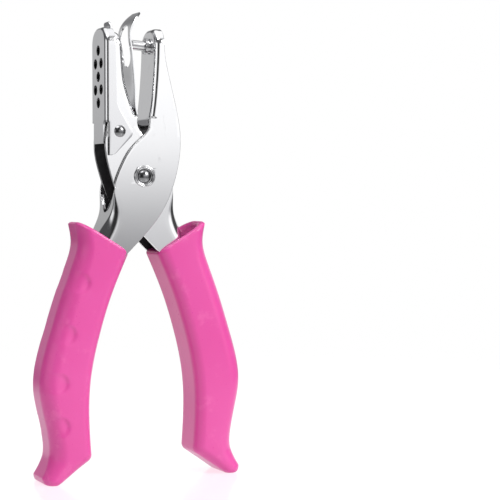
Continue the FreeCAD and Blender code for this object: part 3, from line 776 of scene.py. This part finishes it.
def dome_profile(radius, height, foot, count=12):
    """Low cap from its rim, at the distance foot, to its crown on the axis."""
    ball = (radius ** 2 + height ** 2) / (2 * height)
    angle = np.linspace(math.asin(radius / ball), 0, count)
    return [(ball * math.sin(a), foot + height - ball * (1 - math.cos(a))) for a in angle]


def pivot_pin():
    """Pin through the bushes, with a domed head at each end."""
    reach = PUNCH_HALF - 0.3
    half = [(2.0, reach), (HEAD_RADIUS, reach)] + dome_profile(HEAD_RADIUS, 0.9, reach + 0.15)
    return turned_piece("pivot_pin", both_ends(half), (0, 0, 0), (0, 1, 0), "punch_side",
                        RIVET)


def cover_hinge_pin():
    """Rivet through the cover's ears, with a low domed head at each end."""
    reach = COVER_HALF + 0.05
    half = [(HINGE_RADIUS, reach), (HINGE_HEAD_RADIUS, reach)]
    half += dome_profile(HINGE_HEAD_RADIUS, 0.7, reach + 0.02)
    return turned_piece("cover_hinge_pin", both_ends(half), (HINGE[0], 0, HINGE[1]), (0, 1, 0),
                        "die_side", RIVET)


def spring_sleeve():
    """Spacer tube on the pivot pin, under the spring's coil."""
    reach, inner, outer = DIE_HALF - SHEET - 0.2, 2.05, 2.6
    profile = [(inner, -reach), (outer, -reach), (outer, reach), (inner, reach), (inner, -reach)]
    return turned_piece("spring_sleeve", profile, (0, 0, 0), (0, 1, 0), "punch_side",
                        GROUND)


def seat_distance():
    """Distance along the pin from the die face to the punch jaw's web, with the tool closed."""
    face, out = closed_pin_place()
    along = np.linspace(0, 20, 2001)
    places = np.array([opened(face + out * t) for t in along])
    gap = places[:, 0] - across_at([PUNCH_WEB], places[:, 2])
    return float(np.interp(0, gap, along))


def punch_pin():
    """Pin with a cupped cutting tip, and its riveted end behind the web."""
    face, out = closed_pin_place()
    tip, back = -CUT_DEPTH, seat_distance() + SHEET
    profile = [(0, tip + 0.45), (0.9, tip + 0.25), (1.38, tip), (1.46, tip + 0.03),
               (PIN_RADIUS, tip + 0.12), (PIN_RADIUS, back), (2.0, back), (2.0, back + 0.45),
               (1.75, back + 0.7), (0, back + 0.75)]
    return turned_piece("punch_pin", profile, opened(face), opened(out), "punch_side",
                        GROUND)


def pin_collar():
    """Shoulder ring between the pin and the jaw: a chamfered flange, a groove, and a foot ring."""
    face, out = closed_pin_place()
    seat = seat_distance()
    start = seat - 1.4
    profile = [(PIN_RADIUS, start), (2.2, start), (2.4, start + 0.2), (2.4, start + 0.42),
               (2.25, start + 0.5), (2.25, start + 0.6), (2.4, start + 0.68), (2.4, start + 0.95),
               (2.3, start + 1.05), (1.95, start + 1.1), (1.95, seat - 0.12), (2.1, seat + 0.05),
               (PIN_RADIUS, seat + 0.05), (PIN_RADIUS, start)]
    return turned_piece("pin_collar", profile, opened(face), opened(out), "punch_side",
                        GROUND)


def die_button():
    """Ring that the pin enters: a flange behind the web, and chamfers round its face and bore."""
    face, out = closed_pin_place()
    flange = DIE_RADIUS + 0.5
    profile = [(DIE_BORE, -2.4), (DIE_RADIUS, -2.4), (DIE_RADIUS, -1.6), (flange, -1.6),
               (flange, -1.0), (DIE_RADIUS, -1.0), (DIE_RADIUS, -0.1), (DIE_RADIUS - 0.1, 0),
               (DIE_BORE + 0.08, 0), (DIE_BORE, -0.08), (DIE_BORE, -2.4)]
    return turned_piece("die_button", profile, face, out, "die_side", GROUND)


def leaf_rivet():
    """Rivet through the leaf's foot and the die jaw's web, domed on the leaf's side."""
    middle = float(across_at([LEAF], LEAF_RIVET_Z))
    head, shank = RIVET_HEAD_RADIUS, 0.9
    right, left = LEAF_SHEET / 2 + 0.1, -LEAF_SHEET - SHEET - 0.9
    profile = [(0, left - 0.5), (1.3, left - 0.5), (head, left - 0.3), (head, left), (shank, left),
               (shank, right - 0.1), (head, right - 0.1)] + dome_profile(head, 0.5, right)
    return turned_piece("leaf_rivet", profile, (middle, 0, LEAF_RIVET_Z), (1, 0, 0), "die_side",
                        RIVET)


def tube(points, radius, sides=14):
    """Round wire along a line of points: ring point = place + (a cos t + b sin t) * radius.

    a and b are carried along the line without twist. Both ends close to a point.
    """
    p = np.array(points, float)
    ahead = np.gradient(p, axis=0)
    ahead /= np.linalg.norm(ahead, axis=1)[:, None]
    t = np.linspace(0, 2 * math.pi, sides + 1)
    side = np.array([0.0, 1.0, 0.0])
    rings = []
    for place, way in zip(p, ahead):
        side = side - way * side.dot(way)
        side /= np.linalg.norm(side)
        up = np.cross(way, side)
        rings.append(place + (side * np.cos(t)[:, None] + up * np.sin(t)[:, None]) * radius)
    rings = [np.repeat(p[:1], sides + 1, 0)] + rings + [np.repeat(p[-1:], sides + 1, 0)]
    return np.array(rings)


def return_spring():
    """Torsion spring: point on the coil = (R cos a, pitch * a, R sin a), with a straight leg into
    each handle. Each leg keeps to its own arm, and the coil winds up between them."""
    angle = np.linspace(LEG_LEAN, math.pi - LEG_LEAN + COIL_TURNS * 2 * math.pi, 400)
    y = np.linspace(-COIL_HALF, COIL_HALF, 400)
    coil = spread(COIL_RADIUS * np.cos(angle), y, COIL_RADIUS * np.sin(angle))
    leg = np.linspace(LEG_LENGTH, 0.2, 40)[:, None]
    right = coil[0] + leg * (math.sin(LEG_LEAN), 0, -math.cos(LEG_LEAN))
    left = coil[-1] + leg[::-1] * (-math.sin(LEG_LEAN), 0, -math.cos(LEG_LEAN))
    grid = tube(np.vstack((right, coil, left)), WIRE_RADIUS)
    spring = make_piece("return_spring_wire", [grid], None, "return_spring", GROUND,
                        closed=True)
    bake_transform(spring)
    return spring


# ---------------------------------------------------------------- grips

def half_ring(width, half, round_in, round_out):
    """Half of a grip's section, from the inner side's middle to the outer side's, as (across, y).

    A rectangle with rounded corners, whose face swells in the middle: y is scaled by
    1 - FACE_SWELL * (2 * across / width - 1)^2.
    """
    edge_in = [(0, y) for y in np.linspace(0, half - round_in, 7)[:-1]]
    corner_in = [(round_in - round_in * math.cos(a), half - round_in + round_in * math.sin(a))
                 for a in np.linspace(0, math.pi / 2, 10)]
    face_end, side_start = width - round_out, half - round_out
    face = [(x, half) for x in np.linspace(round_in, face_end, 44)[1:-1]]
    corner_out = [(face_end + round_out * math.sin(a), side_start + round_out * math.cos(a))
                  for a in np.linspace(0, math.pi / 2, 18)]
    edge_out = [(width, y) for y in np.linspace(side_start, 0, 7)[1:]]
    ring = np.array(edge_in + corner_in + face + corner_out + edge_out)
    swell = 1 - FACE_SWELL * (2 * ring[:, 0] / width - 1) ** 2
    return np.stack([ring[:, 0], ring[:, 1] * swell], -1)


def grip_rows():
    """Pairs of places down the grip: on its inner line and on its outer line, in (x, z).

    Down to the split, the pairs run from the mouth to the heel and to the toe's start. Past it,
    they run along the sole and round the toe's tip.
    """
    outer = smooth_line(GRIP_OUTER, 400)
    split = int(np.argmin(np.abs(outer[:, 1] - TOE_START)))
    heel = rounded_chain([GRIP_INNER[-2], GRIP_INNER[-1], GRIP_SOLE[0]], [HEEL_RADIUS], 14)
    side = smooth_line(GRIP_INNER, 300)[:-12]
    inner = np.vstack((side, heel[3:]))
    inner_split = len(side) + 4
    main, toe = np.linspace(0, 1, 190), np.linspace(0, 1, 64)[1:]
    sole_line = resample(inner[inner_split:], toe)
    tip_line = resample(np.vstack((outer[split:], GRIP_TIP)), toe)
    a = np.vstack((resample(inner[:inner_split + 1], main), sole_line))
    b = np.vstack((resample(outer[:split + 1], main), tip_line))
    return a, b


def resample(points, shares):
    """Places at the given shares of a chain's length."""
    length = np.concatenate(([0], np.cumsum(np.linalg.norm(np.diff(points, axis=0), axis=1))))
    at = np.array(shares) * length[-1]
    return np.stack([np.interp(at, length, points[:, k]) for k in range(2)], -1)


def grip_ring(inner, outer, inset, inset_y, half):
    """A station's half ring, drawn in by inset across and inset_y along y."""
    across = outer - inner
    width = np.linalg.norm(across)
    across /= width
    w, h = width - 2 * inset, half - inset_y
    ring = half_ring(w, h, min(ROUND_IN, w * 0.35), min(ROUND_OUT, w * 0.5))
    place = inner + across * (inset + ring[:, :1])
    return np.stack([place[:, 0], ring[:, 1], place[:, 1]], -1)


def grip(name, node, body, wall_y, mirror_x, dimples):
    """Dipped sleeve with a rolled mouth, a hollow behind it, and a rounded toe.

    wall_y is the vinyl's thickness at the mouth, along y.
    """
    a, b = grip_rows()
    half = GRIP_HALF
    near_sole = np.clip((b[:, 1] + PIVOT_Z) / 2.0, 0, 1)
    halves = half - SOLE_ROUNDING * (1 - np.sqrt(1 - (1 - near_sole) ** 2))
    outside = np.array([grip_ring(p, q, 0, 0, h) for p, q, h in zip(a, b, halves)])
    lip_y = wall_y / 2
    up = np.array([-(b[0] - a[0])[1], (b[0] - a[0])[0]])
    up = up / np.linalg.norm(up)
    mouth = []
    for angle in np.radians(np.linspace(170, 10, 13)):
        inset = 1 - math.cos(angle)
        ring = grip_ring(a[0], b[0], LIP * inset, lip_y * inset, half)
        mouth.append(ring + np.array([up[0], 0, up[1]]) * LIP * math.sin(angle))
    hollow = [grip_ring(a[k], b[k], 2 * LIP, 2 * lip_y, half) for k in range(HOLLOW_ROWS, -1, -4)]
    centre = hollow[0].mean(axis=0)
    bottom = centre * (1, 0, 1) + (hollow[0] - centre) * 0.02
    if dimples:
        outside = dimpled(outside)
    last = outside[-1]
    middle = last.mean(axis=0) * (1, 0, 1)
    cap = [middle + (last - middle) * share for share in (0.9, 0.5, 0.05)]
    grid = np.array([bottom] + hollow + mouth + list(outside) + cap)
    return make_piece(name, [grid[:, ::-1]], body, node, VINYL,
                      mirror_x=mirror_x, mirror_y=True)


def dimpled(grid):
    """Presses finger marks in: each is a short crescent wall that fades towards the outer edge.

    depth = DIMPLE_DEPTH * edge * exp(-past / DIMPLE_FADE) * (1 - (b / DIMPLE_HALF)^2), where past
    is the distance outward of the wall at a = DIMPLE_EDGE + DIMPLE_CURVE * b^2, a and b run across
    and along the grip, and edge is a soft step over DIMPLE_SOFT.
    """
    down = np.gradient(grid, axis=0)
    over = np.gradient(grid, axis=1)
    normal = np.cross(over, down)
    normal /= np.maximum(np.linalg.norm(normal, axis=2), 1e-9)[..., None]
    depth = np.zeros(grid.shape[:2])
    places = np.array(DIMPLES)
    ways = np.gradient(places, axis=0)
    for place, way in zip(places, ways):
        way = way / np.linalg.norm(way)
        dx, dz = grid[..., 0] - place[0], grid[..., 2] - place[1]
        b = dx * way[0] + dz * way[1]
        a = -dx * way[1] + dz * way[0]
        past = a - (DIMPLE_EDGE + DIMPLE_CURVE * b ** 2)
        edge = 1 / (1 + np.exp(-np.clip(past / DIMPLE_SOFT, -30, 30)))
        fade = np.exp(-np.clip(past, 0, None) / DIMPLE_FADE)
        depth = np.maximum(depth, edge * fade * np.clip(1 - (b / DIMPLE_HALF) ** 2, 0, 1))
    return grid - normal * (depth * DIMPLE_DEPTH)[..., None]


punch_arm()
die_arm()
chip_cover()
cover_tab()
paper_guide()
pivot_bush("pivot_bush_front", -1)
pivot_bush("pivot_bush_rear", 1)
pivot_pin()
cover_hinge_pin()
spring_sleeve()
punch_pin()
pin_collar()
die_button()
leaf_rivet()
return_spring()
grip("finger_grip_skin", "finger_grip", "punch_side", 0.96, True, True)
grip("palm_grip_skin", "palm_grip", "die_side", 1.9, False, False)


# ---------------------------------------------------------------- studio

def band_ramp(tree, share):
    """Grey of the ring of soft boxes, at a share of the way round from the rear."""
    ramp = tree.tree.nodes.new("ShaderNodeValToRGB")
    tree.put(ramp.inputs[0], share)
    bands = ramp.color_ramp.elements
    for element in list(bands)[1:]:
        bands.remove(element)
    for k, (degrees, value) in enumerate(BANDS):
        place = (degrees + 180) / 360
        element = bands[0] if k == 0 else bands.new(place)
        element.position = place
        element.color = (value, value, value * 1.01, 1)
    return Socket(tree, ramp.outputs[0])


def studio():
    """White backdrop for the camera, and another world for what it lights.

    The metal sees a ring of soft boxes with dark gaps between them, a dusky belt above the ring
    and a white ceiling. Matt surfaces get a soft fill, brightest from the upper right.
    """
    scene = bpy.context.scene
    scene.view_settings.view_transform = "Standard"
    world = bpy.data.worlds.new("studio")
    scene.world = world
    world.use_nodes = True
    tree = Nodes(world.node_tree)
    way = tree.add("ShaderNodeTexCoord", {})
    x, y, z = (tree.add("ShaderNodeSeparateXYZ", {}, way, output=k) for k in range(3))
    turn = tree.add("ShaderNodeMath", {"operation": "ARCTAN2"}, x, -1 * y)
    ring = band_ramp(tree, turn * (0.5 / math.pi) + 0.5)
    low = tree.mix(z.clamped(-0.075, 0.06), (0.36, 0.36, 0.37, 1), (1, 1, 1, 1))
    shaded = tree.mix(1.0, ring, low, "MULTIPLY")
    dusk = tree.mix(z.clamped(0.26, 0.40), shaded, (0.10, 0.10, 0.105, 1))
    dressed = tree.mix(z.clamped(0.66, 0.84), dusk, (1.15, 1.15, 1.16, 1))
    side = x.clamped(-0.9, 0.5) * 0.62 + 0.38
    level = side * (z.clamped(-0.5, 0.5) * 0.62 + 0.24)
    fill = tree.mix(level, (0, 0, 0, 1), (1, 1, 1, 1))
    lit = tree.mix(tree.add("ShaderNodeLightPath", {}, output="Is Diffuse Ray"), dressed, fill)
    seen = tree.add("ShaderNodeLightPath", {}, output="Is Camera Ray")
    colour = tree.mix(seen, lit, (1, 1, 1, 1))
    tree.put(world.node_tree.nodes["Background"].inputs["Color"], colour)


def floor():
    """White disc under the tool, faintly glossy, that fades out towards its edge."""
    f = Finish("studio_floor")
    speck = f.noise(60, 3)
    tone = f.mix(speck, (0.26, 0.26, 0.26, 1), (0.29, 0.29, 0.29, 1))
    distance = f.add("ShaderNodeVectorMath", {"operation": "LENGTH"}, f.place, output=1)
    material = f.finish({"Specular IOR Level": 0.5, "Emission Color": (1, 1, 1, 1),
                         "Emission Strength": 0.68},
                        Base_Color=tone, Roughness=0.16 + speck * 0.04,
                        Alpha=1 - distance.clamped(0.12, 0.40))
    t = np.linspace(0, 2 * math.pi, 97)
    radii = np.array([0.0, 0.2, 0.45])[:, None]
    obj = grid_object("floor", spread(radii * np.cos(t), radii * np.sin(t), 0.0), False)
    obj.data.materials.append(material)


def soft_box(name, place, target, size, power):
    """Round area light that faces the target; lengths in metres, power in watts."""
    data = bpy.data.lights.new(name, "AREA")
    data.energy, data.size, data.shape = power, size, "DISK"
    obj = add_object(name, data)
    obj.location = place
    obj.rotation_euler = (Vector(target) - obj.location).to_track_quat("-Z", "Y").to_euler()


def camera():
    """Long lens half a metre away, turned so that the tool stands in the left half of its view."""
    distance, view_width, shift_right = 0.5, 0.1536, 0.0347
    azimuth, elevation = math.radians(-20), math.radians(2)
    target = Vector((0, 0, 0.0695))
    data = bpy.data.cameras.new("camera")
    data.sensor_width = 36
    data.lens = data.sensor_width * distance / view_width
    back = Vector((math.sin(azimuth) * math.cos(elevation),
                   -math.cos(azimuth) * math.cos(elevation), math.sin(elevation)))
    right = Vector((math.cos(azimuth), math.sin(azimuth), 0))
    obj = add_object("camera", data)
    obj.location = target + back * distance
    aim = target + right * shift_right
    obj.rotation_euler = (aim - obj.location).to_track_quat("-Z", "Y").to_euler()
    bpy.context.scene.camera = obj


studio()
floor()
soft_box("key", (0.38, -0.45, 0.42), (0, 0, 0.05), 0.32, 2.6)
soft_box("top", (-0.15, -0.25, 0.6), (0, 0, 0.05), 0.35, 1.0)
camera()
